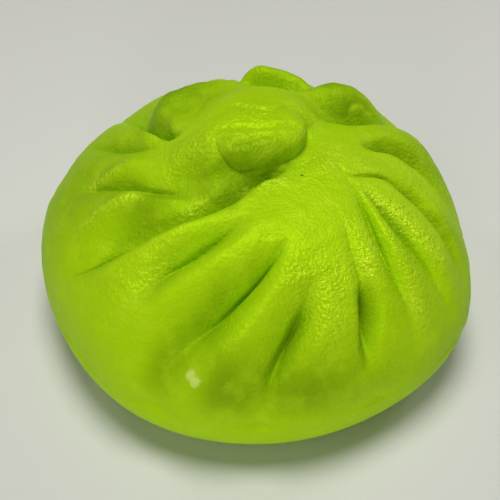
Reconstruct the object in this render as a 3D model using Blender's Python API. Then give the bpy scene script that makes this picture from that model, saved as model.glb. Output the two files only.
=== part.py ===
"""A vegan baozi: one steamed bun of soft dough, with pleats that swirl out from a pinched topknot.

The bun stands on its flat base with its centre over the origin, +Z up. Lengths here are in
millimetres and bearings in degrees, counterclockwise from the bun's right side (+X) as seen from
above, so that 90 is its back and 270 its front. The finished mesh is scaled to metres.

The dough starts as a round grid, whose rows run from the top of the knob down to the base and whose
columns follow the pleats outwards, so that every pleat's valley lies along an edge of the mesh.
"""

from collections import namedtuple

import bmesh
import bpy
import numpy as np

# Overall form of the dough
WIDTH = 100.0
DOME_HEIGHT = 46.0
BELLY_HEIGHT = 15.0
BASE_RADIUS = 38.0
SHOULDER_FULLNESS = 2.3
REACH = WIDTH / 2

# Radius of the belly at every thirty degrees of bearing
BELLY_OUTLINE = (46.6, 47.0, 50.6, 51.5, 50.2, 50.2, 50.3, 49.4, 50.6, 50.0, 49.4, 49.8)

# Pinched knob on top
KNOB_RADIUS = 10.3
KNOB_STRETCH = 1.0
KNOB_STRETCH_BEARING = 135.0
KNOB_SQUARENESS = 1.0
KNOB_SQUARENESS_BEARING = 20.0
KNOB_GIRTH_HEIGHT = 47.2
KNOB_RISE = 4.4
KNOB_FULLNESS = 0.74
KNOB_TUCK_BEARING = 304.0
KNOB_TUCK_SPREAD = 0.8
KNOB_TUCK_MOST = 107.0
KNOB_TUCK_LEAST = 35.0
COLLAR_TIGHT = 1.6
COLLAR_SOFT = 16.0

# Grid that the dough is shaped from
COLUMNS = 128
ROWS = 46
KNOB_SHARE = 0.195
UPPER_SHARE = 0.782
LOWER_SHARE = 0.913
NECK_SHARE = 0.01
MM = 0.001

# A pleat has a path of (reach from the middle, bearing), and the reaches where it starts, is at its
# deepest and fades out. Fall is the share of the dough before it that falls towards its valley, and
# climb the share after it that climbs from there. A cut is a narrower slit along part of the valley,
# and a lip is how far the dough on the cut's far side (plus) or near side (minus) hangs over it.
Pleat = namedtuple("Pleat", "path start deepest end depth fall climb cut cut_width cut_from cut_to lip")
PLEATS = (
    Pleat(((17, 3), (24, 5.5), (29, 8), (33, 6.5), (37, 4), (41, 0), (46, -4)),
          start=21, deepest=33, end=48, depth=5.4, fall=0.3, climb=0.45,
          cut=0.5, cut_width=1.6, cut_from=22, cut_to=44, lip=0.0),
    Pleat(((13, 42), (17.6, 36), (22, 30.5), (29, 30), (36, 32), (45, 36)),
          start=14, deepest=28, end=48, depth=5.0, fall=0.35, climb=0.55,
          cut=0.4, cut_width=1.6, cut_from=18, cut_to=42, lip=0.0),
    Pleat(((20, 60), (27, 62), (41, 69)),
          start=19, deepest=30, end=48, depth=3.4, fall=0.35, climb=0.35,
          cut=0.5, cut_width=1.6, cut_from=20, cut_to=42, lip=0.0),
    Pleat(((22, 101), (42, 98)),
          start=21, deepest=29, end=48, depth=2.8, fall=0.28, climb=0.4,
          cut=0.4, cut_width=1.6, cut_from=20, cut_to=40, lip=0.0),
    Pleat(((19, 150), (22, 136), (27, 127), (35, 119), (46, 115)),
          start=28, deepest=37, end=48, depth=2.6, fall=0.5, climb=0.4,
          cut=0.0, cut_width=1.6, cut_from=20, cut_to=40, lip=0.0),
    Pleat(((19, 177), (22, 167), (25, 161), (31, 152), (42, 142)),
          start=17, deepest=21.5, end=48, depth=5.5, fall=0.7, climb=0.4,
          cut=0.5, cut_width=1.2, cut_from=19, cut_to=42, lip=0.0),
    Pleat(((20, 181), (25, 175), (33, 168), (43, 160)),
          start=20, deepest=32, end=46, depth=2.6, fall=0.6, climb=0.4,
          cut=0.4, cut_width=1.2, cut_from=24, cut_to=42, lip=0.0),
    Pleat(((20, 216), (24, 206), (28, 198), (34, 191), (46, 182)),
          start=19, deepest=29, end=44, depth=3.4, fall=0.64, climb=0.36,
          cut=0.3, cut_width=1.2, cut_from=22, cut_to=40, lip=0.0),
    Pleat(((15, 255), (18.5, 247.5), (22.5, 239), (25.5, 232),
           (29, 226), (36.5, 218.5), (44, 212), (49, 204)),
          start=14, deepest=27, end=52, depth=4.6, fall=0.8, climb=0.3,
          cut=0.5, cut_width=0.9, cut_from=17, cut_to=50, lip=-0.5),
    Pleat(((20, 267), (24, 256.5), (29, 246), (33, 240), (40, 233), (46, 228.5)),
          start=20, deepest=31, end=43, depth=4.4, fall=0.6, climb=0.4,
          cut=0.4, cut_width=1.2, cut_from=25, cut_to=41, lip=0.1),
    Pleat(((23, 285), (27, 278.5), (31, 271.5), (36, 263), (42, 254.8), (45, 250.5), (48, 246.5)),
          start=25, deepest=39, end=51.5, depth=7.4, fall=0.6, climb=0.55,
          cut=1.0, cut_width=1.4, cut_from=25, cut_to=47, lip=1.1),
    Pleat(((24, 294), (30, 289), (37.5, 283.5), (43, 278), (47, 273), (51, 269)),
          start=33, deepest=43, end=52, depth=4.6, fall=0.6, climb=0.4,
          cut=3.2, cut_width=2.4, cut_from=37, cut_to=49.5, lip=0.5),
    Pleat(((22, 310), (27, 306.7), (32, 303.2), (38, 299), (42.5, 296.6), (47, 296)),
          start=24, deepest=42, end=51, depth=1.8, fall=0.25, climb=0.5,
          cut=3.6, cut_width=2.8, cut_from=36, cut_to=49, lip=-0.6),
    Pleat(((14, 324), (20, 330.3), (24, 322.7), (29.5, 316.3),
           (33.7, 314.2), (37.5, 313), (42, 312.5), (48, 310)),
          start=20, deepest=34, end=49.5, depth=2.4, fall=0.5, climb=0.2,
          cut=0.5, cut_width=1.2, cut_from=20, cut_to=47, lip=0.5),
    Pleat(((14, 333), (20, 332.3), (24, 329.5), (28, 328.3), (33, 326), (38, 325.5), (43, 325), (48, 323)),
          start=23, deepest=34, end=50, depth=3.2, fall=0.5, climb=0.35,
          cut=0.2, cut_width=1.6, cut_from=27, cut_to=45, lip=0.0),
    Pleat(((14, 342), (20, 334.8), (24, 341.5), (27, 345), (31, 344),
           (36, 343.3), (38.5, 341.1), (42, 337.8), (46, 335)),
          start=20, deepest=38, end=54, depth=2.0, fall=0.3, climb=0.18,
          cut=1.4, cut_width=1.0, cut_from=15, cut_to=48, lip=-0.6),
)
FLANK_POWER = 2.0
LIP_WIDTH = 4.0
ANCHOR_REACH = 36.0
CROWDING = 0.3

# A fold is a softer valley that the columns do not follow. Its left and right widths are as seen
# when walking along its path.
Fold = namedtuple("Fold", "path depth left right")
FOLDS = (
    # The last turn of the twist, which hollows the dough in front of the knob
    Fold(((26, 231), (18.5, 247), (15.7, 253), (13.4, 261), (12.2, 271), (11.6, 285), (11.4, 305)),
         5.0, 5.5, 2.0),
    # Inner edges of the lobes that stand up behind the knob
    Fold(((26, 103), (23.2, 93), (22, 80), (21.4, 68), (20.5, 56)), 3.4, 3.0, 3.5),
    Fold(((23, 119), (18.5, 134), (16, 158)), 0.9, 2.5, 2.5),
    # Dimple in the lobe at the back right
    Fold(((23.8, 37), (26, 38.3), (27.8, 37.7), (29.7, 36.2), (30.5, 34)), 0.9, 1.8, 2.2),
)
KNOB_FOLDS = (
    Fold(((10, 135), (6.6, 128), (4.0, 62), (7.2, 46), (10.5, 42)), 0.5, 1.8, 2.4),
    Fold(((10, 192), (5.8, 204), (2.7, 276), (5.7, 345), (9.2, 352)), 0.5, 1.8, 2.4),
    Fold(((9.8, 226), (7.0, 243), (4.8, 273), (5.6, 300)), 0.5, 1.8, 2.0),
)

# Rounded ridges, given in the same way as folds but raised by their depth
RIDGES = (
    # Crests of the lobes that stand up behind the knob
    Fold(((20.8, 69), (22.2, 57), (24.8, 47.5), (27.8, 41.5), (32, 37), (37, 33)), 4.4, 6.5, 6.0),
    Fold(((20.5, 172), (24.4, 155), (26.2, 145), (24.2, 134), (23.5, 122.5), (22.8, 110), (22.5, 94)),
         3.6, 6.0, 6.5),
)

# A swell is a gentle bump, or a dent where its height is negative.
Swell = namedtuple("Swell", "reach bearing height across along")
SWELLS = (
    Swell(25.8, 93, 3.0, 5.5, 3.0),
    Swell(25.2, 74, 3.2, 6.5, 2.6),
    Swell(35, 17, 1.8, 8, 8),
    Swell(20, 225, -1.0, 6, 4),
    Swell(33, 213, -1.6, 4.5, 9),
    Swell(27, 275, 1.0, 12, 7),
    Swell(10, 238, 1.0, 5, 2.2),
    Swell(15, 92, 1.4, 9, 5),
)

# Skin of the dough
SKIN_COLOUR = (0.40, 0.66, 0.004, 1.0)
SKIN_ROUGHNESS = 0.5


def step(amount):
    """Goes smoothly from 0 to 1 as the amount does."""
    amount = np.clip(amount, 0, 1)
    return amount * amount * (3 - 2 * amount)


def rise_and_fall(along, start, deepest, end):
    """0 at the start and the end, and 1 at the deepest place between them."""
    rising = step((along - start) / (deepest - start))
    falling = step((end - along) / (end - deepest))
    return (rising * falling) ** 0.7


def smooth_line(at, places, values):
    """A curve through the given values, flat beyond its ends."""
    places = np.asarray(places, float)
    values = np.asarray(values, float)
    slopes = np.gradient(values, places)
    at = np.clip(at, places[0], places[-1])
    i = np.clip(np.searchsorted(places, at, side="right") - 1, 0, len(places) - 2)
    length = places[i + 1] - places[i]
    t = (at - places[i]) / length
    near = values[i] * (1 + 2 * t) * (1 - t) ** 2 + values[i + 1] * (3 - 2 * t) * t**2
    return near + length * t * (1 - t) * (slopes[i] * (1 - t) - slopes[i + 1] * t)


def pleat_bearings(reach):
    """The bearing of each pleat at the given reaches, with the first pleat again at the end."""
    bearings = [smooth_line(reach, *zip(*pleat.path)) for pleat in PLEATS]
    return np.radians(np.array(bearings + [bearings[0] + 360]))


def column_places():
    """The column of the grid that each pleat's valley lies on."""
    bearings = pleat_bearings(np.array([ANCHOR_REACH]))[:, 0]
    places = np.round(bearings / (2 * np.pi) * COLUMNS).astype(int)
    return places


def follow_pleats(column, reach):
    """Where a column runs: its bearing, the pleat before it, and its share of the way to the next."""
    places = column_places()
    column = places[0] + (column - places[0]) % COLUMNS
    before = np.clip(np.searchsorted(places, column + 1e-6) - 1, 0, len(PLEATS) - 1)
    share = (column - places[before]) / (places[before + 1] - places[before])
    share = share - CROWDING * np.sin(2 * np.pi * share) / (2 * np.pi)
    bearings = pleat_bearings(reach)
    here = np.arange(len(column))
    first = bearings[before, here]
    gap = bearings[before + 1, here] - first
    return first + share * gap, before, share, gap


def flank(share):
    """Profile of a rounded flank: 1 in the valley, 0 at the crest."""
    return (1 - np.clip(share, 0, 1)) ** FLANK_POWER


def pleat_values(name):
    values = [getattr(pleat, name) for pleat in PLEATS]
    return np.array(values + values[:1], float)


def pleat_strength(reach, which):
    return rise_and_fall(
        reach, pleat_values("start")[which], pleat_values("deepest")[which], pleat_values("end")[which]
    )


def cut_strength(reach, which):
    start = pleat_values("cut_from")[which]
    end = pleat_values("cut_to")[which]
    return rise_and_fall(reach, start, (start + end) / 2, end)


def pleat_relief(reach, before, share, gap):
    """How far the pleats sink the dough, from the valleys on both sides of each point."""
    after = before + 1
    climbing = flank(share / pleat_values("climb")[before])
    falling = flank((1 - share) / pleat_values("fall")[after])
    sunk = pleat_strength(reach, before) * pleat_values("depth")[before] * climbing
    sunk += pleat_strength(reach, after) * pleat_values("depth")[after] * falling
    for which, away in ((before, share), (after, 1 - share)):
        near = np.clip(1 - away * gap * reach / pleat_values("cut_width")[which], 0, 1)
        sunk += cut_strength(reach, which) * pleat_values("cut")[which] * near**1.5
    return -sunk


def lip_shift(reach, before, share, gap):
    """The angle that the dough beside a valley moves round, so that one side hangs over the valley."""
    shift = np.zeros(len(reach))
    for which, away, side in ((before, share, 1), (before + 1, 1 - share, -1)):
        lip = pleat_values("lip")[which]
        near = np.clip(away * gap * reach / LIP_WIDTH, 0, 1)
        hanging = (1 - near) ** 2 * (1 - 4.5 * near)
        drawn_under = (1 - near) ** 3
        bend = np.where(lip * side > 0, hanging, drawn_under)
        shift += lip * bend * cut_strength(reach, which) / reach
    return shift


def knob_radius(bearing):
    stretch = KNOB_STRETCH * np.cos(bearing - np.radians(KNOB_STRETCH_BEARING))
    square = KNOB_SQUARENESS * np.cos(2 * (bearing - np.radians(KNOB_SQUARENESS_BEARING)))
    return KNOB_RADIUS + stretch + square


def knob_tuck(bearing):
    """How far the knob's side curls under: past 90 degrees it overhangs."""
    facing = step(0.5 + KNOB_TUCK_SPREAD * np.cos(bearing - np.radians(KNOB_TUCK_BEARING)))
    return np.radians(KNOB_TUCK_LEAST + (KNOB_TUCK_MOST - KNOB_TUCK_LEAST) * facing), facing


def knob_profile(bearing, turn):
    """Radius and height of the knob's side, turned from 0 at its top."""
    radius = knob_radius(bearing) * np.sin(turn) ** KNOB_FULLNESS
    height = KNOB_GIRTH_HEIGHT + KNOB_RISE * np.sign(np.cos(turn)) * np.abs(np.cos(turn)) ** KNOB_FULLNESS
    return radius, height


def dome_height(radius):
    fall = np.sqrt(1 - np.clip(radius / REACH, 0, 1) ** SHOULDER_FULLNESS)
    return BELLY_HEIGHT + (DOME_HEIGHT - BELLY_HEIGHT) * fall


def plan_stretch(bearing, radius):
    """The bun is not quite round, more so towards its rim."""
    places = np.linspace(-360, 720, 3 * len(BELLY_OUTLINE) + 1)
    outline = BELLY_OUTLINE * 3 + BELLY_OUTLINE[:1]
    belly = smooth_line(np.degrees(bearing), places, outline)
    return 1 + (belly / REACH - 1) * step(radius / REACH)


def smooth_dough(bearing, down):
    """The unpleated dough: radius and height of its skin, and how far out along it each point is."""
    tuck, facing = knob_tuck(bearing)
    neck_radius, neck_height = knob_profile(bearing, tuck)

    radius, height = knob_profile(bearing, tuck * np.clip(down / KNOB_SHARE, 0, 1))
    reach = radius.copy()

    upper = down > KNOB_SHARE
    start = np.arcsin(neck_radius / REACH)
    part = np.clip((down - KNOB_SHARE) / (UPPER_SHARE - KNOB_SHARE), 0, 1)
    out = REACH * np.sin(start + (np.pi / 2 - start) * part)
    collar = COLLAR_SOFT + (COLLAR_TIGHT - COLLAR_SOFT) * facing
    fade = 1 - step((out - neck_radius) / collar)
    lift = (neck_height - dome_height(neck_radius)) * fade
    radius = np.where(upper, out, radius)
    height = np.where(upper, dome_height(out) + lift, height)
    reach = np.where(upper, out, reach)

    lower = down > UPPER_SHARE
    under = np.pi / 2 * np.clip((down - UPPER_SHARE) / (LOWER_SHARE - UPPER_SHARE), 0, 1)
    radius = np.where(lower, BASE_RADIUS + (REACH - BASE_RADIUS) * np.cos(under), radius)
    height = np.where(lower, BELLY_HEIGHT * (1 - np.sin(under)), height)
    reach = np.where(lower, REACH + BELLY_HEIGHT * under, reach)

    base = down > LOWER_SHARE
    inward = np.clip((1 - down) / (1 - LOWER_SHARE), 0, 1)
    radius = np.where(base, BASE_RADIUS * inward, radius)
    height = np.where(base, 0.0, height)
    reach = np.where(base, REACH + WIDTH, reach)
    return radius, height, reach


def on_plan(reach, bearing):
    return np.stack([reach * np.cos(bearing), reach * np.sin(bearing)], axis=-1)


def fold_line(fold, steps=24):
    """Points along a fold's path, on the plan."""
    reaches, bearings = zip(*fold.path)
    knots = np.linspace(0, 1, len(reaches))
    along = np.linspace(0, 1, steps)
    corners = on_plan(np.array(reaches), np.radians(bearings))
    return np.stack([smooth_line(along, knots, corners[:, k]) for k in (0, 1)], axis=-1)


def beside_fold(fold, plan):
    """Which points of the plan a fold may reach, and how far across its width and along its path each is."""
    line = fold_line(fold)
    widest = max(fold.left, fold.right)
    close = np.all((plan > line.min(axis=0) - widest) & (plan < line.max(axis=0) + widest), axis=1)
    run = np.diff(line, axis=0)
    away = plan[close][:, None, :] - line[:-1]
    share = np.clip((away * run).sum(-1) / (run * run).sum(-1), 0, 1)
    off = away - share[..., None] * run
    distance = np.sqrt((off * off).sum(-1))
    nearest = distance.argmin(axis=1)
    here = np.arange(len(nearest))
    turned = run[nearest, 0] * off[here, nearest, 1] - run[nearest, 1] * off[here, nearest, 0]
    width = np.where(turned > 0, fold.left, fold.right)
    place = (nearest + share[here, nearest]) / len(run)
    return close, np.clip(distance[here, nearest] / width, 0, 1), place


def fold_relief(fold, plan):
    """How far a fold sinks each point of the plan. It fades out at both ends of its path."""
    close, across, place = beside_fold(fold, plan)
    relief = np.zeros(len(plan))
    relief[close] = -fold.depth * step(5 * place * (1 - place)) * flank(across)
    return relief


def ridge_relief(ridge, plan):
    """How far a ridge raises each point of the plan. It is highest halfway along its path."""
    close, across, place = beside_fold(ridge, plan)
    relief = np.zeros(len(plan))
    relief[close] = ridge.depth * np.sin(np.pi * place) ** 0.7 * (1 - across**2) ** 2
    return relief


def swell_relief(swell, plan):
    bearing = np.radians(swell.bearing)
    away = plan - on_plan(swell.reach, bearing)
    along = away @ np.array([np.cos(bearing), np.sin(bearing)]) / swell.along
    across = away @ np.array([-np.sin(bearing), np.cos(bearing)]) / swell.across
    return swell.height * np.exp(-(along**2) - across**2)


def roll_up(mesh):
    """Rolls a flat square grid up into a closed unit sphere."""
    flat = read_points(mesh)
    turn = np.pi * (1 + flat[:, 0])
    down = np.pi * (1 - flat[:, 1]) / 2
    sphere = np.column_stack([np.sin(down) * np.cos(turn), np.sin(down) * np.sin(turn), np.cos(down)])
    write_points(mesh, sphere)
    bmesh.ops.remove_doubles(mesh, verts=mesh.verts, dist=1e-5)


def read_points(mesh):
    return np.array([vert.co[:] for vert in mesh.verts])


def write_points(mesh, points):
    for vert, point in zip(mesh.verts, points.tolist()):
        vert.co = point
    mesh.normal_update()


def turn_round(points, angle):
    """Moves each point round the bun's middle by its own angle."""
    x = points[:, 0] * np.cos(angle) - points[:, 1] * np.sin(angle)
    y = points[:, 0] * np.sin(angle) + points[:, 1] * np.cos(angle)
    return np.column_stack([x, y, points[:, 2]])


def shape_dough(mesh):
    """Moves the points of a unit sphere onto the bun, in millimetres."""
    sphere = read_points(mesh)
    down = np.arccos(np.clip(sphere[:, 2], -1, 1)) / np.pi
    column = np.arctan2(sphere[:, 1], sphere[:, 0]) / (2 * np.pi) * COLUMNS

    reach = smooth_dough(column / COLUMNS * 2 * np.pi, down)[2]
    bearing, before, share, gap = follow_pleats(column, reach)
    radius, height, reach = smooth_dough(bearing, down)
    plan = on_plan(radius * plan_stretch(bearing, radius), bearing)
    points = np.column_stack([plan, height])
    write_points(mesh, points)
    normals = np.array([vert.normal[:] for vert in mesh.verts])

    relief = pleat_relief(reach, before, share, gap)
    above = down < UPPER_SHARE
    on_knob = down < KNOB_SHARE
    off_knob = above * step((down - KNOB_SHARE) / NECK_SHARE)
    for fold in FOLDS:
        relief += off_knob * fold_relief(fold, plan)
    for ridge in RIDGES:
        relief += off_knob * ridge_relief(ridge, plan)
    for fold in KNOB_FOLDS:
        relief += on_knob * fold_relief(fold, plan)
    for swell in SWELLS:
        relief += above * swell_relief(swell, plan)
    hang = lip_shift(np.maximum(reach, 1), before, share, gap)
    write_points(mesh, turn_round(points + normals * relief[:, None], hang))


def rest_on_base(mesh):
    """Flattens the base at height 0 and brings the middle of the bun's box over the origin."""
    points = read_points(mesh)
    points[:, 2] = np.maximum(points[:, 2], 0)
    middle = (points.min(axis=0) + points.max(axis=0)) / 2
    points[:, :2] -= middle[:2]
    write_points(mesh, points)


def skin_material():
    material = bpy.data.materials.new("green dough skin")
    material.use_nodes = True
    shader = material.node_tree.nodes["Principled BSDF"]
    shader.inputs["Base Color"].default_value = SKIN_COLOUR
    shader.inputs["Roughness"].default_value = SKIN_ROUGHNESS
    shader.inputs["Metallic"].default_value = 0.0
    return material


def make_bun():
    dough = bmesh.new()
    bmesh.ops.create_grid(dough, x_segments=COLUMNS, y_segments=ROWS, size=1)
    roll_up(dough)
    shape_dough(dough)
    rest_on_base(dough)
    bmesh.ops.scale(dough, vec=(MM, MM, MM), verts=dough.verts)
    bmesh.ops.recalc_face_normals(dough, faces=dough.faces)
    mesh = bpy.data.meshes.new("bun")
    dough.to_mesh(mesh)
    dough.free()
    mesh.shade_smooth()
    mesh.materials.append(skin_material())
    bun = bpy.data.objects.new("bun", mesh)
    bpy.context.scene.collection.objects.link(bun)
    return bun


def clear_scene():
    for thing in list(bpy.data.objects):
        bpy.data.objects.remove(thing)


clear_scene()
make_bun()
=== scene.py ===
"""A vegan baozi: one steamed bun of soft yellow-green dough, with a swirl of pleats round a pinched knob.

The bun stands on its flat base with its centre over the origin, +Z up. Lengths in the dough's shape
are in millimetres and bearings in degrees, counterclockwise from the bun's right side (+X) as seen
from above, so that 90 is its back and 270 its front. The finished mesh is scaled to metres.
"""

import math
from collections import namedtuple

import bmesh
import bpy
import numpy as np
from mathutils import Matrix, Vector, noise


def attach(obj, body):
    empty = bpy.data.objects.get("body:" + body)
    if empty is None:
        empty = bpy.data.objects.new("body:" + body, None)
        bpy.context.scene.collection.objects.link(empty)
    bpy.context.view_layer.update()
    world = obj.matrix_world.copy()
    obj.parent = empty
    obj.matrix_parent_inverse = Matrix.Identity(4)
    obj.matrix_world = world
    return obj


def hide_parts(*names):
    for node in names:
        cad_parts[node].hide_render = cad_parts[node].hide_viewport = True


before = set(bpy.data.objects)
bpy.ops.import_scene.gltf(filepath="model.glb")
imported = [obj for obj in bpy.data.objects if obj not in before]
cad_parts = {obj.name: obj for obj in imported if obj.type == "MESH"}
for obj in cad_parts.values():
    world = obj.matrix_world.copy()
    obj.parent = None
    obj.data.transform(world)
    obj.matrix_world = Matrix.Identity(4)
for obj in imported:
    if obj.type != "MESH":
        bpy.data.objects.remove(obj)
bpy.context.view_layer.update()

# Overall form of the dough
WIDTH = 100.0
DOME_HEIGHT = 46.0
BELLY_HEIGHT = 15.0
BASE_RADIUS = 38.0
SHOULDER_FULLNESS = 2.3
REACH = WIDTH / 2

# Radius of the belly at every thirty degrees of bearing
BELLY_OUTLINE = (46.6, 47.0, 50.6, 51.5, 50.2, 50.2, 50.3, 49.4, 50.6, 50.0, 49.4, 49.8)

# Pinched knob on top
KNOB_RADIUS = 10.3
KNOB_STRETCH = 1.6
KNOB_STRETCH_BEARING = 145.0
KNOB_SQUARENESS = 0.6
KNOB_SQUARENESS_BEARING = 5.0
KNOB_GIRTH_HEIGHT = 47.2
KNOB_RISE = 4.4
KNOB_FULLNESS = 0.74
KNOB_TUCK_BEARING = 304.0
KNOB_TUCK_SPREAD = 0.8
KNOB_TUCK_MOST = 107.0
KNOB_TUCK_LEAST = 35.0
COLLAR_TIGHT = 1.6
COLLAR_SOFT = 16.0

# Grid that the dough is shaped from
COLUMNS = 512
ROWS = 186
KNOB_SHARE = 0.19
UPPER_SHARE = 0.86
LOWER_SHARE = 0.97
NECK_SHARE = 0.01
MM = 0.001

# A pleat has a path of (reach from the middle, bearing), and the reaches where it starts, is at its
# deepest and fades out. Fall is the share of the dough before it that falls towards its valley, and
# climb the share after it that climbs from there. A cut is a narrower slit along part of the valley,
# and a lip is how far the dough on the cut's far side (plus) or near side (minus) hangs over it.
Pleat = namedtuple("Pleat", "path start deepest end depth fall climb cut cut_width cut_from cut_to lip")
PLEATS = (
    Pleat(((17, 3), (24, 5.5), (29, 8), (33, 6.5), (37, 4), (41, 0), (46, -4)),
          start=21, deepest=33, end=48, depth=5.4, fall=0.3, climb=0.45,
          cut=0.5, cut_width=1.6, cut_from=22, cut_to=44, lip=0.0),
    Pleat(((13, 42), (17.6, 36), (22, 30.5), (29, 30), (36, 32), (45, 36)),
          start=14, deepest=28, end=48, depth=5.0, fall=0.35, climb=0.55,
          cut=0.4, cut_width=1.6, cut_from=18, cut_to=42, lip=0.0),
    Pleat(((20, 60), (27, 62), (41, 69)),
          start=19, deepest=30, end=48, depth=3.4, fall=0.35, climb=0.35,
          cut=0.5, cut_width=1.6, cut_from=20, cut_to=42, lip=0.0),
    Pleat(((22, 101), (42, 98)),
          start=21, deepest=29, end=48, depth=2.8, fall=0.28, climb=0.4,
          cut=0.4, cut_width=1.6, cut_from=20, cut_to=40, lip=0.0),
    Pleat(((19, 150), (22, 136), (27, 127), (35, 119), (46, 115)),
          start=28, deepest=37, end=48, depth=2.6, fall=0.5, climb=0.4,
          cut=0.0, cut_width=1.6, cut_from=20, cut_to=40, lip=0.0),
    Pleat(((19, 177), (22, 167), (25, 161), (31, 152), (42, 142)),
          start=17, deepest=21.5, end=48, depth=5.5, fall=0.7, climb=0.4,
          cut=0.5, cut_width=1.2, cut_from=19, cut_to=42, lip=0.0),
    Pleat(((20, 181), (25, 175), (33, 168), (43, 160)),
          start=20, deepest=32, end=46, depth=2.6, fall=0.6, climb=0.4,
          cut=0.4, cut_width=1.2, cut_from=24, cut_to=42, lip=0.0),
    Pleat(((20, 215), (24, 204.8), (28, 196.6), (34, 189.4), (46, 180.5)),
          start=19, deepest=29, end=44, depth=3.4, fall=0.64, climb=0.36,
          cut=0.3, cut_width=1.2, cut_from=22, cut_to=40, lip=0.0),
    Pleat(((15, 255), (18.5, 247.5), (22.5, 239), (25.5, 232),
           (29, 226), (36.5, 218.5), (44, 212), (49, 204)),
          start=14, deepest=27, end=52, depth=4.6, fall=0.8, climb=0.3,
          cut=0.8, cut_width=0.9, cut_from=17, cut_to=50, lip=-0.5),
    Pleat(((20, 267), (24, 256.5), (29, 246), (33, 240), (40, 233), (46, 228.5)),
          start=20, deepest=30, end=43, depth=5.0, fall=0.7, climb=0.4,
          cut=0.1, cut_width=1.2, cut_from=25, cut_to=41, lip=0.1),
    Pleat(((23, 285), (27, 278.5), (31, 271.5), (36, 263), (42, 254.8), (45, 250.5), (48, 246.5)),
          start=25, deepest=37.5, end=53, depth=6.8, fall=0.8, climb=0.5,
          cut=1.0, cut_width=1.4, cut_from=25, cut_to=45.5, lip=0.9),
    Pleat(((24, 294), (30, 289), (37.5, 283.5), (43, 278), (47, 273), (51, 269)),
          start=33, deepest=42.5, end=53.5, depth=4.8, fall=0.75, climb=0.4,
          cut=3.2, cut_width=2.4, cut_from=37, cut_to=49.5, lip=0.3),
    Pleat(((22, 310), (27, 306.7), (32, 303.4), (38.5, 301.2), (42, 299.8), (44.6, 298), (48, 295.5)),
          start=24, deepest=42, end=49.5, depth=1.8, fall=0.3, climb=0.5,
          cut=4.2, cut_width=3.0, cut_from=37, cut_to=48.5, lip=0.0),
    Pleat(((14, 324), (20, 331), (24, 324.7), (29.5, 318.8),
           (33.7, 315.4), (37.5, 313), (42, 312), (48, 310)),
          start=20, deepest=34, end=49.5, depth=3.0, fall=0.5, climb=0.35,
          cut=0.0, cut_width=1.6, cut_from=20, cut_to=47, lip=0.0),
    Pleat(((14, 333), (20, 332.8), (24, 329.7), (28, 327.4), (33, 325.6), (38, 325), (43, 324.2), (48, 323)),
          start=23, deepest=34, end=50, depth=3.2, fall=0.5, climb=0.4,
          cut=0.2, cut_width=1.6, cut_from=27, cut_to=45, lip=0.0),
    Pleat(((14, 342), (20, 334.8), (24, 341.5), (27, 345), (31, 344),
           (36, 343.3), (38.5, 341.1), (42, 337.8), (46, 335)),
          start=23, deepest=39, end=49, depth=3.0, fall=0.3, climb=0.3,
          cut=1.4, cut_width=1.0, cut_from=15, cut_to=46, lip=-0.5),
)

# How steeply flanks and cuts fall to the valley, and pleats fade out along it
FLANK_POWER = 2.0
CUT_POWER = 1.5
FADE_POWER = 0.7

# The valleys are rounder low down, from this reach on
LOW_REACH = 39.0
LOW_FADE = 7.0
LOW_ROUNDNESS = 0.1

# A lip reaches this far from its cut, and dips again behind its edge
LIP_WIDTH = 4.0
LIP_DIP = 4.5

# The columns are shared out among the pleats at this reach, and crowd towards the valleys
ANCHOR_REACH = 36.0
CROWDING = 0.3

# A fold is a softer valley that the columns do not follow. Its left and right widths are as seen
# when walking along its path.
Fold = namedtuple("Fold", "path depth left right")
FOLD_END_FADE = 5.0
FOLDS = (
    # The last turn of the twist, which hollows the dough in front of the knob
    Fold(((26, 231), (18.3, 247), (14.9, 253), (12.1, 261), (10.3, 271), (9.5, 285), (9.2, 305)),
         4.3, 7.5, 2.4),
    # Inner edges of the lobes that stand up behind the knob
    Fold(((26, 103), (23.2, 93), (22, 80), (21.4, 68), (20.5, 56)), 3.4, 3.0, 3.5),
    Fold(((23, 119), (18.5, 134), (16, 158)), 0.9, 2.5, 2.5),
    # Dimple in the lobe at the back right
    Fold(((23.8, 37), (26, 38.3), (27.8, 37.7), (29.7, 36.2), (30.5, 34)), 1.1, 0.8, 1.6),
    # Wrinkles where the deepest pleat is gathered
    Fold(((24.4, 267), (24.0, 275), (24.4, 283)), 0.5, 0.8, 0.8),
    Fold(((26.0, 268), (25.4, 275), (25.6, 281)), 0.5, 0.8, 0.8),
)
KNOB_FOLDS = (
    Fold(((10, 135), (6.6, 128), (4.0, 62), (7.2, 46), (10.5, 42)), 0.6, 1.2, 1.8),
    Fold(((10, 192), (5.8, 204), (2.7, 276), (5.7, 345), (9.2, 352)), 0.5, 1.4, 2.0),
    Fold(((9.8, 226), (7.0, 243), (4.8, 273), (5.6, 300)), 0.6, 1.4, 1.6),
)

# Rounded ridges, given in the same way as folds but raised by their depth
RIDGES = (
    # Crests of the lobes that stand up behind the knob
    Fold(((20.8, 69), (22.2, 57), (24.8, 47.5), (27.8, 41.5), (32, 37), (37, 33)), 4.4, 6.5, 6.0),
    Fold(((20.5, 172), (24.4, 155), (26.2, 145), (24.2, 134), (23.5, 122.5), (22.8, 110), (22.5, 94)),
         3.6, 6.0, 6.5),
)

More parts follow.
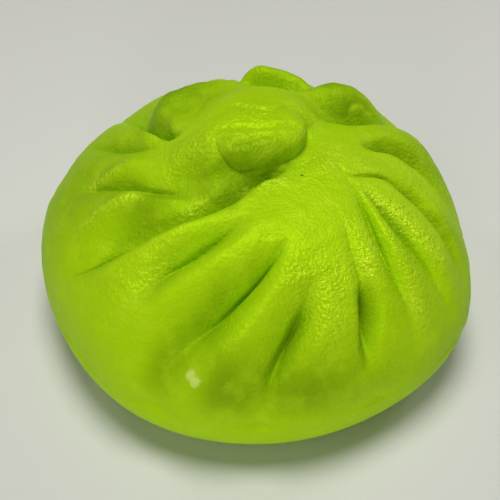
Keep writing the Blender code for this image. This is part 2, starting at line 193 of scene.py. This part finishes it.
# A swell is a gentle bump, or a dent where its height is negative. Its last two values are how far
# it spreads across its bearing and along it.
Swell = namedtuple("Swell", "reach bearing height across along")
SWELLS = (
    Swell(25.8, 93, 3.6, 5.5, 3.0),
    Swell(25.2, 74, 3.2, 6.5, 2.6),
    Swell(35, 17, 1.8, 8, 8),
    Swell(26.7, 35.6, 0.35, 1.6, 1.3),
    Swell(19.5, 224, -1.7, 5.5, 4),
    Swell(33, 213, -1.6, 4.5, 9),
    Swell(31.6, 7, -0.9, 2.0, 1.4),
    Swell(27, 275, 1.0, 12, 7),
    Swell(10, 238, 1.0, 5, 2.2),
    Swell(15, 92, 1.4, 9, 5),
    Swell(33, 201.5, 0.9, 1.7, 6),
    Swell(32.3, 184.7, 0.6, 1.5, 5),
)

# Soft-edged patches of the skin, placed as swells are, with an amount from 0 to 1 for the height
MOIST_PATCHES = (
    # Round the knob and on its top
    Swell(2, 140, 0.8, 9, 7),
    Swell(12.2, 273, 0.9, 5, 2.5),
    Swell(14, 332, 0.9, 5, 4),
    Swell(21, 349, 0.9, 3, 3),
    Swell(14, 200, 0.9, 3, 4),
    # The rounded ridges at the right
    Swell(25, 330, 1.0, 2, 4),
    Swell(31, 331, 1.0, 2.2, 4),
    Swell(37, 331, 1.0, 2.2, 5),
    Swell(42, 329, 0.8, 2, 4),
    Swell(33, 319, 1.0, 1.8, 4),
    Swell(39, 317, 1.0, 2, 5),
    Swell(44.5, 314, 1.0, 1.8, 4),
    Swell(27, 310, 0.7, 1.8, 5),
    Swell(33, 307, 1.0, 2, 4),
    Swell(37, 304, 1.0, 2, 4),
    # The broad ridge in front and the ridges beside it
    Swell(34, 290, 0.9, 5, 5),
    Swell(40, 288, 1.0, 5, 6),
    Swell(33, 280, 0.7, 2.5, 4),
    Swell(43, 261, 0.6, 3, 5),
    Swell(34, 233, 0.8, 3, 7),
    Swell(41, 226, 0.8, 3, 4),
    # The left side
    Swell(18, 198, 0.8, 4, 4),
    Swell(23, 231, 0.9, 1.2, 4),
    Swell(32, 184, 1.0, 1.5, 5),
    Swell(34, 201, 0.9, 1.8, 6),
)
# Patches of painted shade: the skin is coloured darker where shade falls, in the hollows, on the shaded faces
# of the knob and lobes, low at the front and on the pleats' shaded sides
PAINTED_SHADE_PATCHES = (
    # The hollow in front of the knob, and the knob's own front
    Swell(15, 234, 1.0, 8, 6),
    Swell(8.8, 250, 1.0, 4, 2.2),
    Swell(8.2, 284, 1.0, 5.5, 3.2),
    # The lobes behind the knob and at the back right
    Swell(23.7, 84, 0.5, 7, 4),
    Swell(23.5, 45, 1.0, 8, 5.5),
    Swell(36, 11, 0.6, 5, 7),
    Swell(39, 342, 0.6, 2, 5),
    # Low down at the front
    Swell(48.5, 278, 1.0, 17, 4.5),
    # The shaded sides of the pleats in front
    Swell(37, 257, 0.45, 2.5, 4),
    Swell(42, 253, 0.7, 3, 3),
    Swell(46, 248.5, 0.8, 3, 3),
    Swell(49, 245, 0.6, 3, 3),
    Swell(31.5, 267, 0.25, 2, 3),
    Swell(48.5, 261, 0.8, 4, 5),
    Swell(36, 238.5, 0.6, 2, 4),
    # The hollow at the left and the lobe behind it
    Swell(28.5, 212, 0.9, 4, 7),
    Swell(25, 145, 0.8, 8, 5.5),
    Swell(23.5, 128, 0.8, 6, 6),
    Swell(38, 184, 0.6, 13, 10),
)
# Patches where the skin's grains are painted with glints of light, besides two pale patches of the dough's
# own colour
PALE_AND_GLINT_PATCHES = (
    # Two pale patches, the dough's own colour
    Swell(33.1, 311.8, 1.0, 1.3, 1.5),
    Swell(35.3, 305.2, 1.0, 1.3, 2.6),
    # Along the rounded ridges at the right
    Swell(26, 330.5, 0.8, 1.8, 4),
    Swell(33, 330.5, 0.85, 1.8, 4),
    Swell(40.5, 329.5, 0.7, 1.5, 5),
    Swell(39, 317, 0.15, 1.8, 6),
    Swell(44.5, 314, 0.9, 1.3, 3),
    # Above them, and in front of the knob
    Swell(21, 348, 0.7, 2.5, 2.5),
    Swell(15.5, 344, 0.6, 4, 2.5),
    Swell(12.2, 273, 1.0, 5, 1.3),
    # On the broad ridge in front, and at the left
    Swell(37, 289, 0.35, 5, 6),
    Swell(37, 232, 0.35, 4, 8),
    Swell(22.5, 230, 0.5, 1.2, 4),
    Swell(14, 200, 0.4, 3, 4),
    Swell(29, 203.5, 0.8, 1.1, 4),
    Swell(37, 200.5, 0.7, 1.1, 4),
    Swell(36.5, 185.4, 0.9, 1.1, 2.5),
    Swell(31, 184.5, 0.5, 1.1, 3),
)

# Unevenness of the dough
BROAD_LUMP = 11.0
BROAD_SWELL = 0.5
SMALL_LUMP = 2.6
SMALL_SWELL = 0.14
SMALL_LUMP_START = Vector((7, 3, 5))

# Depths at which a hollow and a slit are fully coloured with painted shade, and how softly the patches end at
# the belly
HOLLOW_SHADE_DEPTH = 4.0
SLIT_SHADE_DEPTH = 2.6
PATCH_FADE = 0.12


def step(amount):
    """Goes smoothly from 0 to 1 as the amount does."""
    amount = np.clip(amount, 0, 1)
    return amount * amount * (3 - 2 * amount)


def rise_and_fall(along, start, deepest, end):
    """0 at the start and the end, and 1 at the deepest place between them."""
    rising = step((along - start) / (deepest - start))
    falling = step((end - along) / (end - deepest))
    return (rising * falling) ** FADE_POWER


def smooth_line(at, places, values):
    """A curve through the given values, flat beyond its ends."""
    places = np.asarray(places, float)
    values = np.asarray(values, float)
    slopes = np.gradient(values, places)
    at = np.clip(at, places[0], places[-1])
    i = np.clip(np.searchsorted(places, at, side="right") - 1, 0, len(places) - 2)
    length = places[i + 1] - places[i]
    t = (at - places[i]) / length
    near = values[i] * (1 + 2 * t) * (1 - t) ** 2 + values[i + 1] * (3 - 2 * t) * t**2
    return near + length * t * (1 - t) * (slopes[i] * (1 - t) - slopes[i + 1] * t)


def pleat_bearings(reach):
    """The bearing of each pleat at the given reaches, with the first pleat again at the end."""
    bearings = [smooth_line(reach, *zip(*pleat.path)) for pleat in PLEATS]
    return np.radians(np.array(bearings + [bearings[0] + 360]))


def column_places():
    """The column of the grid that each pleat's valley lies on."""
    bearings = pleat_bearings(np.array([ANCHOR_REACH]))[:, 0]
    return np.round(bearings / (2 * np.pi) * COLUMNS).astype(int)


def follow_pleats(column, reach):
    """Where a column runs: its bearing, the pleat before it, and its share of the way to the next."""
    places = column_places()
    column = places[0] + (column - places[0]) % COLUMNS
    before = np.clip(np.searchsorted(places, column + 1e-6) - 1, 0, len(PLEATS) - 1)
    share = (column - places[before]) / (places[before + 1] - places[before])
    share = share - CROWDING * np.sin(2 * np.pi * share) / (2 * np.pi)
    bearings = pleat_bearings(reach)
    here = np.arange(len(column))
    first = bearings[before, here]
    gap = bearings[before + 1, here] - first
    return first + share * gap, before, share, gap


def flank(share, roundness=0.0):
    """Profile of a flank: 1 in the valley, 0 at the crest. Roundness takes away the valley's sharp bottom."""
    return (1 - np.clip(np.hypot(share, roundness), 0, 1)) ** FLANK_POWER


def pleat_values(name):
    """One value of every pleat, with the first pleat's again at the end."""
    values = [getattr(pleat, name) for pleat in PLEATS]
    return np.array(values + values[:1], float)


def pleat_strength(reach, which):
    """How much of its depth a pleat has at a reach."""
    start = pleat_values("start")[which]
    deepest = pleat_values("deepest")[which]
    end = pleat_values("end")[which]
    return rise_and_fall(reach, start, deepest, end)


def cut_strength(reach, which):
    """How much of its depth a cut has at a reach."""
    start = pleat_values("cut_from")[which]
    end = pleat_values("cut_to")[which]
    return rise_and_fall(reach, start, (start + end) / 2, end)


def pleat_relief(reach, before, share, gap):
    """How far the pleats and their cuts sink the dough, from the valleys on both sides of each point."""
    after = before + 1
    roundness = LOW_ROUNDNESS * step((reach - LOW_REACH) / LOW_FADE)
    climbing = flank(share / pleat_values("climb")[before], roundness)
    falling = flank((1 - share) / pleat_values("fall")[after], roundness)
    sunk = pleat_strength(reach, before) * pleat_values("depth")[before] * climbing
    sunk += pleat_strength(reach, after) * pleat_values("depth")[after] * falling
    slit = np.zeros(len(reach))
    for which, away in ((before, share), (after, 1 - share)):
        near = np.clip(1 - away * gap * reach / pleat_values("cut_width")[which], 0, 1)
        slit += cut_strength(reach, which) * pleat_values("cut")[which] * near**CUT_POWER
    return -sunk - slit, slit


def lip_shift(reach, before, share, gap):
    """The angle that the dough beside a valley moves round, so that one side hangs over the valley."""
    shift = np.zeros(len(reach))
    for which, away, side in ((before, share, 1), (before + 1, 1 - share, -1)):
        lip = pleat_values("lip")[which]
        near = np.clip(away * gap * reach / LIP_WIDTH, 0, 1)
        hanging = (1 - near) ** 2 * (1 - LIP_DIP * near)
        drawn_under = (1 - near) ** 3
        bend = np.where(lip * side > 0, hanging, drawn_under)
        shift += lip * bend * cut_strength(reach, which) / reach
    return shift


def knob_radius(bearing):
    """The knob is drawn out to one side and a little squared."""
    stretch = KNOB_STRETCH * np.cos(bearing - np.radians(KNOB_STRETCH_BEARING))
    square = KNOB_SQUARENESS * np.cos(2 * (bearing - np.radians(KNOB_SQUARENESS_BEARING)))
    return KNOB_RADIUS + stretch + square


def knob_tuck(bearing):
    """How far the knob's side curls under: past 90 degrees it overhangs."""
    facing = step(0.5 + KNOB_TUCK_SPREAD * np.cos(bearing - np.radians(KNOB_TUCK_BEARING)))
    return np.radians(KNOB_TUCK_LEAST + (KNOB_TUCK_MOST - KNOB_TUCK_LEAST) * facing), facing


def knob_profile(bearing, turn):
    """Radius and height of the knob's side, turned from 0 at its top."""
    radius = knob_radius(bearing) * np.sin(turn) ** KNOB_FULLNESS
    height = KNOB_GIRTH_HEIGHT + KNOB_RISE * np.sign(np.cos(turn)) * np.abs(np.cos(turn)) ** KNOB_FULLNESS
    return radius, height


def dome_height(radius):
    """Height of the unpleated dome over its plan."""
    fall = np.sqrt(1 - np.clip(radius / REACH, 0, 1) ** SHOULDER_FULLNESS)
    return BELLY_HEIGHT + (DOME_HEIGHT - BELLY_HEIGHT) * fall


def plan_stretch(bearing, radius):
    """The bun is not quite round, more so towards its rim."""
    places = np.linspace(-360, 720, 3 * len(BELLY_OUTLINE) + 1)
    outline = BELLY_OUTLINE * 3 + BELLY_OUTLINE[:1]
    belly = smooth_line(np.degrees(bearing), places, outline)
    return 1 + (belly / REACH - 1) * step(radius / REACH)


def smooth_dough(bearing, down):
    """The unpleated dough: radius and height of its skin, and how far out along it each point is."""
    tuck, facing = knob_tuck(bearing)
    neck_radius, neck_height = knob_profile(bearing, tuck)

    radius, height = knob_profile(bearing, tuck * np.clip(down / KNOB_SHARE, 0, 1))
    reach = radius.copy()

    upper = down > KNOB_SHARE
    start = np.arcsin(neck_radius / REACH)
    part = np.clip((down - KNOB_SHARE) / (UPPER_SHARE - KNOB_SHARE), 0, 1)
    out = REACH * np.sin(start + (np.pi / 2 - start) * part)
    collar = COLLAR_SOFT + (COLLAR_TIGHT - COLLAR_SOFT) * facing
    fade = 1 - step((out - neck_radius) / collar)
    lift = (neck_height - dome_height(neck_radius)) * fade
    radius = np.where(upper, out, radius)
    height = np.where(upper, dome_height(out) + lift, height)
    reach = np.where(upper, out, reach)

    lower = down > UPPER_SHARE
    under = np.pi / 2 * np.clip((down - UPPER_SHARE) / (LOWER_SHARE - UPPER_SHARE), 0, 1)
    radius = np.where(lower, BASE_RADIUS + (REACH - BASE_RADIUS) * np.cos(under), radius)
    height = np.where(lower, BELLY_HEIGHT * (1 - np.sin(under)), height)
    reach = np.where(lower, REACH + BELLY_HEIGHT * under, reach)

    base = down > LOWER_SHARE
    inward = np.clip((1 - down) / (1 - LOWER_SHARE), 0, 1)
    radius = np.where(base, BASE_RADIUS * inward, radius)
    height = np.where(base, 0.0, height)
    reach = np.where(base, REACH + WIDTH, reach)
    return radius, height, reach


def on_plan(reach, bearing):
    """Points seen from above, as X and Y."""
    return np.stack([reach * np.cos(bearing), reach * np.sin(bearing)], axis=-1)


def fold_line(fold, steps=24):
    """Points along a fold's path, on the plan."""
    reaches, bearings = zip(*fold.path)
    knots = np.linspace(0, 1, len(reaches))
    along = np.linspace(0, 1, steps)
    corners = on_plan(np.array(reaches), np.radians(bearings))
    return np.stack([smooth_line(along, knots, corners[:, k]) for k in (0, 1)], axis=-1)


def beside_fold(fold, plan):
    """Which points of the plan a fold may reach, and how far across its width and along its path each is."""
    line = fold_line(fold)
    widest = max(fold.left, fold.right)
    close = np.all((plan > line.min(axis=0) - widest) & (plan < line.max(axis=0) + widest), axis=1)
    run = np.diff(line, axis=0)
    away = plan[close][:, None, :] - line[:-1]
    share = np.clip((away * run).sum(-1) / (run * run).sum(-1), 0, 1)
    off = away - share[..., None] * run
    distance = np.sqrt((off * off).sum(-1))
    nearest = distance.argmin(axis=1)
    here = np.arange(len(nearest))
    turned = run[nearest, 0] * off[here, nearest, 1] - run[nearest, 1] * off[here, nearest, 0]
    width = np.where(turned > 0, fold.left, fold.right)
    place = (nearest + share[here, nearest]) / len(run)
    return close, np.clip(distance[here, nearest] / width, 0, 1), place


def fold_relief(fold, plan):
    """How far a fold sinks each point of the plan. It fades out at both ends of its path."""
    close, across, place = beside_fold(fold, plan)
    relief = np.zeros(len(plan))
    relief[close] = -fold.depth * step(FOLD_END_FADE * place * (1 - place)) * flank(across)
    return relief


def ridge_relief(ridge, plan):
    """How far a ridge raises each point of the plan. It is highest halfway along its path."""
    close, across, place = beside_fold(ridge, plan)
    relief = np.zeros(len(plan))
    relief[close] = ridge.depth * np.sin(np.pi * place) ** FADE_POWER * (1 - across**2) ** 2
    return relief


def swell_relief(swell, plan):
    """How far a swell raises each point of the plan, as a bell shape."""
    bearing = np.radians(swell.bearing)
    away = plan - on_plan(swell.reach, bearing)
    along = away @ np.array([np.cos(bearing), np.sin(bearing)]) / swell.along
    across = away @ np.array([-np.sin(bearing), np.cos(bearing)]) / swell.across
    return swell.height * np.exp(-(along**2) - across**2)


def patch_amount(patches, plan):
    """How strongly the patches cover each point of the plan, from 0 to 1."""
    return np.clip(sum(swell_relief(patch, plan) for patch in patches), 0, 1)


def roll_up(mesh):
    """Rolls a flat square grid up into a closed unit sphere."""
    flat = read_points(mesh)
    turn = np.pi * (1 + flat[:, 0])
    down = np.pi * (1 - flat[:, 1]) / 2
    sphere = np.column_stack([np.sin(down) * np.cos(turn), np.sin(down) * np.sin(turn), np.cos(down)])
    write_points(mesh, sphere)
    bmesh.ops.remove_doubles(mesh, verts=mesh.verts, dist=1e-5)


def read_points(mesh):
    return np.array([vert.co[:] for vert in mesh.verts])


def write_points(mesh, points):
    for vert, point in zip(mesh.verts, points.tolist()):
        vert.co = point
    mesh.normal_update()


def turn_round(points, angle):
    """Moves each point round the bun's middle by its own angle."""
    x = points[:, 0] * np.cos(angle) - points[:, 1] * np.sin(angle)
    y = points[:, 0] * np.sin(angle) + points[:, 1] * np.cos(angle)
    return np.column_stack([x, y, points[:, 2]])


def lumpiness(point):
    """How far the soft dough swells out of its even form at a point."""
    broad = noise.noise(Vector(point) / BROAD_LUMP) * BROAD_SWELL
    small = noise.noise(Vector(point) / SMALL_LUMP + SMALL_LUMP_START) * SMALL_SWELL
    return broad + small


def shape_dough(mesh):
    """Moves the points of a unit sphere onto the bun, in millimetres. Returns where its skin gets painted
    shade, painted glints and pale patches, and how moist it is there.
    """
    sphere = read_points(mesh)
    down = np.arccos(np.clip(sphere[:, 2], -1, 1)) / np.pi
    column = np.arctan2(sphere[:, 1], sphere[:, 0]) / (2 * np.pi) * COLUMNS

    reach = smooth_dough(column / COLUMNS * 2 * np.pi, down)[2]
    bearing, before, share, gap = follow_pleats(column, reach)
    radius, height, reach = smooth_dough(bearing, down)
    plan = on_plan(radius * plan_stretch(bearing, radius), bearing)
    points = np.column_stack([plan, height])
    write_points(mesh, points)
    normals = np.array([vert.normal[:] for vert in mesh.verts])

    relief, slit = pleat_relief(reach, before, share, gap)
    above = down < UPPER_SHARE
    on_knob = down < KNOB_SHARE
    off_knob = above * step((down - KNOB_SHARE) / NECK_SHARE)
    for fold in FOLDS:
        relief += off_knob * fold_relief(fold, plan)
    for ridge in RIDGES:
        relief += off_knob * ridge_relief(ridge, plan)
    for fold in KNOB_FOLDS:
        relief += on_knob * fold_relief(fold, plan)
    for swell in SWELLS:
        relief += above * swell_relief(swell, plan)
    unevenness = np.array([lumpiness(point) for point in points])
    hang = lip_shift(np.maximum(reach, 1), before, share, gap)
    write_points(mesh, turn_round(points + normals * (relief + above * unevenness)[:, None], hang))
    skin = step((UPPER_SHARE - down) / PATCH_FADE)
    # The skin's painted shade in hollows, slits and shaded patches, its moist gloss, and its painted glints
    # together with the pale patches
    return {
        "hollow": np.clip(-relief / HOLLOW_SHADE_DEPTH, 0, 1),
        "slit": np.clip(slit / SLIT_SHADE_DEPTH, 0, 1),
        "moist": skin * patch_amount(MOIST_PATCHES, plan),
        "painted_shade": skin * patch_amount(PAINTED_SHADE_PATCHES, plan),
        "pale_and_glint": skin * patch_amount(PALE_AND_GLINT_PATCHES, plan),
    }


def rest_on_base(mesh):
    """Flattens the base at height 0 and brings the middle of the bun's box over the origin."""
    points = read_points(mesh)
    points[:, 2] = np.maximum(points[:, 2], 0)
    middle = (points.min(axis=0) + points.max(axis=0)) / 2
    points[:, :2] -= middle[:2]
    write_points(mesh, points)


# Colours of the dough's skin, with painted shade colours for its hollows, slits and shaded patches, and a
# painted glint colour that also colours the pale patches
SKIN = (0.40, 0.66, 0.004, 1.0)
HOLLOW_SHADE_COLOUR = (0.36, 0.62, 0.003, 1.0)
SLIT_SHADE_COLOUR = (0.25, 0.43, 0.003, 1.0)
SKIN_PALE = (0.50, 0.74, 0.012, 1.0)
PALE_AND_GLINT_COLOUR = (0.64, 0.86, 0.035, 1.0)
PAINTED_SHADE_COLOUR = (0.225, 0.40, 0.003, 1.0)
FLAKE_COLOUR = (0.66, 0.80, 0.16, 1.0)
SPECK_COLOUR = (0.10, 0.17, 0.004, 1.0)
SHINE_TINT = (0.75, 1.0, 0.12, 1.0)

# Gloss of the skin, dry and where it is moist
SKIN_METALLIC = 0.14
SKIN_IOR = 1.2
DRY_ROUGHNESS = 0.5
MOIST_ROUGHNESS = 0.3

# Lumps of the paler mottling and of the grains that carry the painted glints, in millimetres, with the range
# of the noise that shows
MOTTLE_ROUGHNESS = 0.55
PALE_LUMP = 5.0
PALE_RANGE = (0.48, 0.80)
PALE_MOST = 0.55
GRAIN = 0.7
GRAIN_RANGE = (0.42, 0.66)

# Pebbles of the skin, in millimetres, and how much of their depth the dry and the moist skin have
PEBBLE = 1.3
SMALL_PEBBLE = 0.6
PEBBLE_DEPTH = 0.5
PEBBLE_STRENGTH = 0.8
DRY_PEBBLES = 0.5
MOIST_PEBBLES = 0.95

# A dry flake and dark specks on the skin: places and widths in millimetres
FLAKE = ((-11.9, -46.1, 25.7), (-10.8, -46.5, 24.6))
FLAKE_WIDTH = 3.0
FLAKE_COVER = 0.75
SPECKS = ((12.7, -21.2, 43.3), (9.9, -11.2, 45.2))
SPECK_WIDTH = 0.7

# Shares of a spot's width: the lumps and the depth of its ragged edge, its rim, and the rim's softness
RAGGED_LUMP = 0.4
RAGGED_DEPTH = 0.5
SPOT_RIM = 0.75
SPOT_SOFTNESS = 0.25

# Floor and air of the studio
FLOOR_COLOUR = (0.72, 0.72, 0.66, 1.0)
FLOOR_ROUGHNESS = 0.9
FLOOR_HALF_WIDTH = 1.5
AIR_COLOUR = (1.0, 1.0, 1.0, 1.0)
AIR_STRENGTH = 0.03

# A round light has a place and a width in metres and a power in watts. A fill light is not
# mirrored in the moist dough.
Light = namedtuple("Light", "name place width power mirrored")
LIGHTS = (
    Light("overhead light", (0.0, 0.0, 0.57), 0.26, 2.15, mirrored=True),
    Light("right back light", (0.40, 0.28, 0.27), 0.16, 0.45, mirrored=True),
    Light("left back light", (-0.38, 0.30, 0.29), 0.12, 0.25, mirrored=True),
    Light("low front light", (-0.08, -0.54, 0.085), 0.16, 1.05, mirrored=False),
    Light("front light", (-0.29, -0.29, 0.39), 0.26, 0.2, mirrored=False),
)

# Camera, which looks down at the bun from its front
LENS = 61.2
SENSOR = 36.0
LOOK_DOWN = 44.0
DISTANCE = 0.1976
AIM = Vector((0, 0, 0.018))
SHIFT_X = -0.0052
SHIFT_Y = -0.0324


def add_node(material, kind, **inputs):
    """A new node, with some of its inputs set to values or joined to other nodes' outputs."""
    node = material.node_tree.nodes.new(kind)
    for name, value in inputs.items():
        socket = node.inputs[name.replace("_", " ")]
        if isinstance(value, bpy.types.NodeSocket):
            material.node_tree.links.new(value, socket)
        else:
            socket.default_value = value
    return node


def mottle(material, size, detail=2.0):
    """Noise with lumps of the given size in millimetres, from 0 to 1."""
    place = add_node(material, "ShaderNodeTexCoord").outputs["Object"]
    lumps = add_node(material, "ShaderNodeTexNoise", Vector=place, Scale=1 / (size * MM))
    lumps.inputs["Detail"].default_value = detail
    lumps.inputs["Roughness"].default_value = MOTTLE_ROUGHNESS
    return lumps.outputs["Fac"]


def stretch_range(material, value, low, high, to_low=0.0, to_high=1.0):
    """Spreads the values between low and high over a new range, and clamps the rest."""
    node = add_node(material, "ShaderNodeMapRange", Value=value)
    node.inputs["From Min"].default_value = low
    node.inputs["From Max"].default_value = high
    node.inputs["To Min"].default_value = to_low
    node.inputs["To Max"].default_value = to_high
    return node.outputs["Result"]


def blend_colours(material, amount, first, second):
    """The first colour where the amount is 0, and the second where it is 1."""
    node = material.node_tree.nodes.new("ShaderNodeMix")
    node.data_type = "RGBA"
    material.node_tree.links.new(amount, node.inputs["Factor"])
    colour_inputs = [socket for socket in node.inputs if socket.type == "RGBA"]
    for socket, value in zip(colour_inputs, (first, second)):
        if isinstance(value, bpy.types.NodeSocket):
            material.node_tree.links.new(value, socket)
        else:
            socket.default_value = value
    return next(socket for socket in node.outputs if socket.type == "RGBA")


def combine(material, operation, first, second):
    """The sum, the product or the larger of two values or outputs, as the operation says."""
    node = material.node_tree.nodes.new("ShaderNodeMath")
    node.operation = operation
    for socket, value in zip(node.inputs, (first, second)):
        if isinstance(value, bpy.types.NodeSocket):
            material.node_tree.links.new(value, socket)
        else:
            socket.default_value = value
    return node.outputs[0]


def painted(material, name):
    """An amount that was worked out for each point of the dough when it was shaped."""
    node = add_node(material, "ShaderNodeAttribute")
    node.attribute_name = name
    return node.outputs["Fac"]


def spot(material, place, width):
    """1 inside a small uneven spot round a place in millimetres, and 0 outside it."""
    here = add_node(material, "ShaderNodeTexCoord").outputs["Object"]
    away = add_node(material, "ShaderNodeVectorMath")
    away.operation = "DISTANCE"
    material.node_tree.links.new(here, away.inputs[0])
    away.inputs[1].default_value = [size * MM for size in place]
    ragged = combine(material, "MULTIPLY", mottle(material, width * RAGGED_LUMP), width * RAGGED_DEPTH * MM)
    edge = combine(material, "ADD", away.outputs["Value"], ragged)
    rim = width * SPOT_RIM * MM
    return stretch_range(material, edge, rim * (1 - SPOT_SOFTNESS), rim, 1.0, 0.0)


def skin_material():
    """Moist steamed dough: mottled, with painted shade in the hollows, slits and shaded patches, and a
    pebbled skin that glistens in places, with painted glints on its grains.
    """
    material = bpy.data.materials.new("green dough skin")
    material.use_nodes = True
    shader = material.node_tree.nodes["Principled BSDF"]
    shader.inputs["Metallic"].default_value = SKIN_METALLIC
    shader.inputs["IOR"].default_value = SKIN_IOR
    shader.inputs["Specular Tint"].default_value = SHINE_TINT
    join = material.node_tree.links.new

    # Painted shade: the colour darkens with the depth of a hollow, and in the patches where shade falls
    colour = blend_colours(material, painted(material, "hollow"), SKIN, HOLLOW_SHADE_COLOUR)
    colour = blend_colours(material, painted(material, "painted_shade"), colour, PAINTED_SHADE_COLOUR)
    pale = stretch_range(material, mottle(material, PALE_LUMP, detail=4.0), *PALE_RANGE, 0.0, PALE_MOST)
    colour = blend_colours(material, pale, colour, SKIN_PALE)
    # Painted glints on the grains of the glint patches, which also colour the two pale patches
    glint_grains = stretch_range(material, mottle(material, GRAIN, detail=3.0), *GRAIN_RANGE)
    pale_and_glint = combine(material, "MULTIPLY", painted(material, "pale_and_glint"), glint_grains)
    colour = blend_colours(material, pale_and_glint, colour, PALE_AND_GLINT_COLOUR)
    # Painted shade in the slits
    colour = blend_colours(material, painted(material, "slit"), colour, SLIT_SHADE_COLOUR)
    for place in SPECKS:
        colour = blend_colours(material, spot(material, place, SPECK_WIDTH), colour, SPECK_COLOUR)
    flake = combine(material, "MAXIMUM", *(spot(material, place, FLAKE_WIDTH) for place in FLAKE))
    flake = combine(material, "MULTIPLY", flake, FLAKE_COVER)
    colour = blend_colours(material, flake, colour, FLAKE_COLOUR)
    join(colour, shader.inputs["Base Color"])

    moist = painted(material, "moist")
    roughness = stretch_range(material, moist, 0.0, 1.0, DRY_ROUGHNESS, MOIST_ROUGHNESS)
    join(roughness, shader.inputs["Roughness"])

    pebbles = combine(material, "ADD", mottle(material, PEBBLE), mottle(material, SMALL_PEBBLE))
    shown = stretch_range(material, moist, 0.0, 1.0, DRY_PEBBLES, MOIST_PEBBLES)
    height = combine(material, "MULTIPLY", pebbles, shown)
    bump = add_node(
        material, "ShaderNodeBump", Strength=PEBBLE_STRENGTH, Distance=PEBBLE_DEPTH * MM, Height=height
    )
    join(bump.outputs["Normal"], shader.inputs["Normal"])
    return material


def make_bun():
    """Shapes the dough from a flat grid and gives it its skin."""
    dough = bmesh.new()
    bmesh.ops.create_grid(dough, x_segments=COLUMNS, y_segments=ROWS, size=1)
    roll_up(dough)
    amounts = shape_dough(dough)
    rest_on_base(dough)
    bmesh.ops.scale(dough, vec=(MM, MM, MM), verts=dough.verts)
    bmesh.ops.recalc_face_normals(dough, faces=dough.faces)
    mesh = bpy.data.meshes.new("steamed_dough")
    dough.to_mesh(mesh)
    dough.free()
    for name, amount in amounts.items():
        mesh.attributes.new(name, "FLOAT", "POINT").data.foreach_set("value", amount)
    mesh.shade_smooth()
    mesh.materials.append(skin_material())
    bun = bpy.data.objects.new("steamed_dough", mesh)
    bpy.context.scene.collection.objects.link(bun)
    return bun


def make_floor():
    """A plain pale floor, wide enough for every view."""
    ground = bmesh.new()
    bmesh.ops.create_grid(ground, x_segments=1, y_segments=1, size=FLOOR_HALF_WIDTH)
    mesh = bpy.data.meshes.new("floor")
    ground.to_mesh(mesh)
    ground.free()
    material = bpy.data.materials.new("pale floor")
    material.use_nodes = True
    shader = material.node_tree.nodes["Principled BSDF"]
    shader.inputs["Base Color"].default_value = FLOOR_COLOUR
    shader.inputs["Roughness"].default_value = FLOOR_ROUGHNESS
    mesh.materials.append(material)
    floor = bpy.data.objects.new("floor", mesh)
    bpy.context.scene.collection.objects.link(floor)
    return floor


def hang_light(light):
    """Hangs one round studio light, turned towards the bun."""
    lamp = bpy.data.lights.new(light.name, "AREA")
    lamp.shape = "DISK"
    lamp.size = light.width
    lamp.energy = light.power
    hung = bpy.data.objects.new(light.name, lamp)
    hung.location = light.place
    hung.rotation_euler = (AIM - Vector(light.place)).to_track_quat("-Z", "Y").to_euler()
    hung.visible_glossy = light.mirrored
    bpy.context.scene.collection.objects.link(hung)


def light_scene():
    for light in LIGHTS:
        hang_light(light)
    world = bpy.data.worlds.new("soft studio")
    world.use_nodes = True
    air = world.node_tree.nodes["Background"]
    air.inputs["Color"].default_value = AIR_COLOUR
    air.inputs["Strength"].default_value = AIR_STRENGTH
    bpy.context.scene.world = world
    bpy.context.scene.view_settings.view_transform = "Standard"


def aim_camera():
    lens = bpy.data.cameras.new("camera")
    lens.lens = LENS
    lens.sensor_width = SENSOR
    lens.shift_x = SHIFT_X
    lens.shift_y = SHIFT_Y
    camera = bpy.data.objects.new("camera", lens)
    down = math.radians(LOOK_DOWN)
    camera.location = AIM + DISTANCE * Vector((0, -math.cos(down), math.sin(down)))
    camera.rotation_euler = (math.pi / 2 - down, 0, 0)
    bpy.context.scene.collection.objects.link(camera)
    bpy.context.scene.camera = camera


bun = make_bun()
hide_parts("bun")
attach(bun, "root")
make_floor()
light_scene()
aim_camera()
